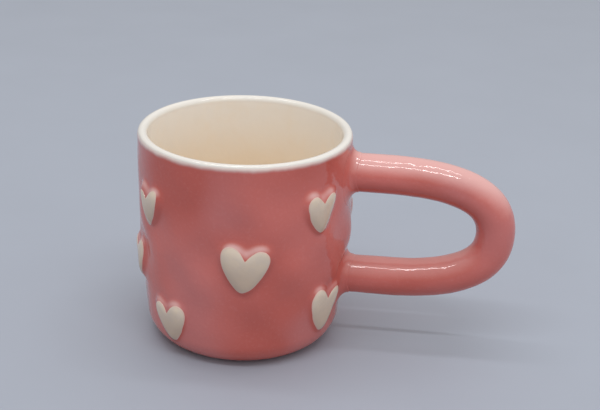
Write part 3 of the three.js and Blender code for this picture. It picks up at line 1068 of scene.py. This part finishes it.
class MUG_OT_coil_handle(bpy.types.Operator):
    """Roll the coil handle along its path"""

    bl_idname = "mug.coil_handle"
    bl_label = "Coil Handle"

    def execute(self, context):
        cup, handle = context.scene.mug_cup, context.scene.mug_handle
        path = handle_path(cup, handle)
        values = {
            "Path": path,
            "Radius": handle.coil_radius,
            "Step": handle.step,
            "Sides": handle.sides,
            "Unevenness": handle.unevenness,
            "Ripple": handle.glaze_ripple,
            "Lower Arm": handle.lower_side + 2 * handle.coil_radius,
            "Upper Arm": handle.upper_side - 2 * handle.coil_radius,
            "Lower Arm Shading": handle.lower_arm_shading,
            "Material": pink_glaze(cup, context.scene.mug_finish),
        }
        made = grown("pink_coil", coil_tree(), values)
        discard(path)
        present(made, "pink_glaze", "coil_handle")
        return {"FINISHED"}


class MUG_OT_joint_beads(bpy.types.Operator):
    """Wipe the slip round both ends of the handle"""

    bl_idname = "mug.joint_beads"
    bl_label = "Joint Beads"

    def execute(self, context):
        cup, handle = context.scene.mug_cup, context.scene.mug_handle
        wall = bpy.data.objects["pink_cup_wall"]
        arms = {
            "upper": (handle.upper_side - handle.coil_radius, 1.0),
            "lower": (handle.lower_side + handle.coil_radius, handle.lower_arm_shading),
        }
        for side, arm in arms.items():
            made = joint_bead(f"pink_{side}_joint", cup, handle, *arm, wall)
            made.data.materials.append(pink_glaze(cup, context.scene.mug_finish))
            present(made, "pink_glaze", f"{side}_joint_bead")
        return {"FINISHED"}


class MUG_OT_hearts(bpy.types.Operator):
    """Paint a cream heart on each swell of the wall"""

    bl_idname = "mug.hearts"
    bl_label = "Hearts"

    def execute(self, context):
        scene = context.scene
        cup, hearts = scene.mug_cup, scene.mug_hearts
        outline = heart_curve()
        former = smooth_former(cup, bpy.data.objects["pink_cup_wall"])
        tree, cream = heart_tree(), heart_glaze(scene.mug_finish)
        for seed, (name, heart) in enumerate(HEARTS.items()):
            towards, height, width = heart_place(cup, name)
            values = {
                "Outline": outline,
                "Wall": former,
                "Wall Radius": cup.rim_radius,
                "Towards": towards + heart.slip[0] * MM / cup.rim_radius,
                "Height": float(height) + heart.slip[1] * MM,
                "Width": float(width),
                "Lean": math.radians(heart.lean),
                "Droop": heart.droop,
                "Sway": heart.sway,
                "Paint": hearts.paint,
                "Sink": hearts.sink,
                "Wobble": hearts.wobble,
                "Seed": float(seed),
                "Points": hearts.points,
                "Rings": hearts.rings,
                "Material": cream,
            }
            made = grown(f"painted_{name}", tree, values)
            present(made, "heart_cream", name)
        discard(outline, former)
        return {"FINISHED"}


# Stage


def area_light(name, power, size, where, target=(0, 0, 0)):
    """A rectangular lamp that points at a target."""
    lamp = bpy.data.lights.new(name, "AREA")
    lamp.energy = power
    lamp.shape = "RECTANGLE"
    lamp.size, lamp.size_y = size
    made = new_object(name, lamp)
    made.location = where
    made.rotation_euler = (Vector(target) - Vector(where)).to_track_quat("-Z", "Y").to_euler()
    return made


def stage_floor(stage):
    """A wide plain floor with faint blotches."""
    half = stage.floor_size / 2
    corners = [(-half, -half, 0), (half, -half, 0), (half, half, 0), (-half, half, 0)]
    mesh = bpy.data.meshes.new("floor")
    mesh.from_pydata(corners, [], [(0, 1, 2, 3)])
    pale = Surface("pale_floor")
    blotches = pale.cloud(size=60 * MM, detail=4.0)
    pale.feed("Base Color", pale.mix(blotches, stage.floor, darker(stage.floor, part=0.93)))
    pale.shader.inputs["Roughness"].default_value = FLOOR_ROUGHNESS
    mesh.materials.append(pale.material)
    return new_object("floor", mesh)


def stage_world(stage):
    """Soft light that grows towards the ceiling, over a plain backdrop as pale as the floor."""
    world = bpy.data.worlds.new("studio")
    world.use_nodes = True
    sheet = Sheet(world.node_tree)
    glow = sheet.nodes["Background"]
    glow.inputs["Color"].default_value = (*stage.light_colour, 1.0)
    direction = sheet.node("ShaderNodeTexCoord").outputs["Generated"]
    inputs = {0: direction, 1: stage.light_side}
    nearness = sheet.node("ShaderNodeVectorMath", inputs, operation="DOT_PRODUCT").outputs["Value"]
    strength = sheet.ease(nearness, *LIGHT_SPREAD, stage.horizon, stage.ceiling)
    sheet.links.new(strength, glow.inputs["Strength"])
    backdrop = sheet.node("ShaderNodeBackground", {"Color": (*stage.backdrop, 1.0), "Strength": 1.0})
    seen = sheet.node("ShaderNodeLightPath").outputs["Is Camera Ray"]
    inputs = {0: seen, 1: glow.outputs[0], 2: backdrop.outputs[0]}
    both = sheet.node("ShaderNodeMixShader", inputs).outputs[0]
    sheet.links.new(both, sheet.nodes["World Output"].inputs["Surface"])
    return world


def stage_camera(stage):
    """The camera, at the angle that the mug was seen from."""
    data = bpy.data.cameras.new("camera")
    data.lens = stage.lens
    data.sensor_width = SENSOR_WIDTH
    data.clip_start = NEAREST
    camera = new_object("camera", data)
    heading = Matrix.Rotation(stage.camera_heading, 4, "Z")
    tilt = Matrix.Rotation(QUARTER_TURN - stage.camera_pitch, 4, "X")
    roll = Matrix.Rotation(stage.camera_roll, 4, "Z")
    camera.matrix_world = Matrix.Translation(stage.camera_place) @ heading @ tilt @ roll
    return camera


class MUG_OT_stage(bpy.types.Operator):
    """Set out the floor, the studio lights and the camera"""

    bl_idname = "mug.stage"
    bl_label = "Stage"

    def execute(self, context):
        stage = context.scene.mug_stage
        stage_floor(stage)
        strip, high = (stage.strip_length, stage.strip_width), stage.strip_height
        area_light("front_strip", stage.front_power, strip, (0.0, -stage.front_strip, high))
        area_light("rear_strip", stage.rear_power, strip, (0.0, stage.rear_strip, high))
        context.scene.world = stage_world(stage)
        context.scene.camera = stage_camera(stage)
        context.scene.view_settings.view_transform = "Standard"
        return {"FINISHED"}


# Add-on


class MUG_PT_panel(bpy.types.Panel):
    """Lists the mug's pieces and their sizes"""

    bl_idname = "MUG_PT_panel"
    bl_label = "Heart Mug"
    bl_space_type = "VIEW_3D"
    bl_region_type = "UI"
    bl_category = "Mug"

    def draw(self, context):
        layout = self.layout
        for operator in OPERATORS:
            layout.operator(operator.bl_idname)
        for group in GROUPS:
            box = layout.box()
            box.label(text=group[len("mug_") :].title())
            settings = getattr(context.scene, group)
            for name in settings.__annotations__:
                box.prop(settings, name)


OPERATORS = (
    MUG_OT_cup_wall,
    MUG_OT_cream_lining,
    MUG_OT_coil_handle,
    MUG_OT_joint_beads,
    MUG_OT_hearts,
    MUG_OT_stage,
)
GROUPS = {
    "mug_cup": MugCup,
    "mug_handle": MugHandle,
    "mug_hearts": MugHearts,
    "mug_finish": MugFinish,
    "mug_stage": MugStage,
}
CLASSES = (*GROUPS.values(), *OPERATORS, MUG_PT_panel)


def register():
    for made in CLASSES:
        bpy.utils.register_class(made)
    for name, group in GROUPS.items():
        setattr(bpy.types.Scene, name, PointerProperty(type=group))


def unregister():
    for name in GROUPS:
        delattr(bpy.types.Scene, name)
    for made in reversed(CLASSES):
        bpy.utils.unregister_class(made)


def main():
    register()
    bpy.ops.mug.cup_wall()
    bpy.ops.mug.cream_lining()
    bpy.ops.mug.coil_handle()
    bpy.ops.mug.joint_beads()
    bpy.ops.mug.hearts()
    bpy.ops.mug.stage()


if __name__ == "__main__":
    main()
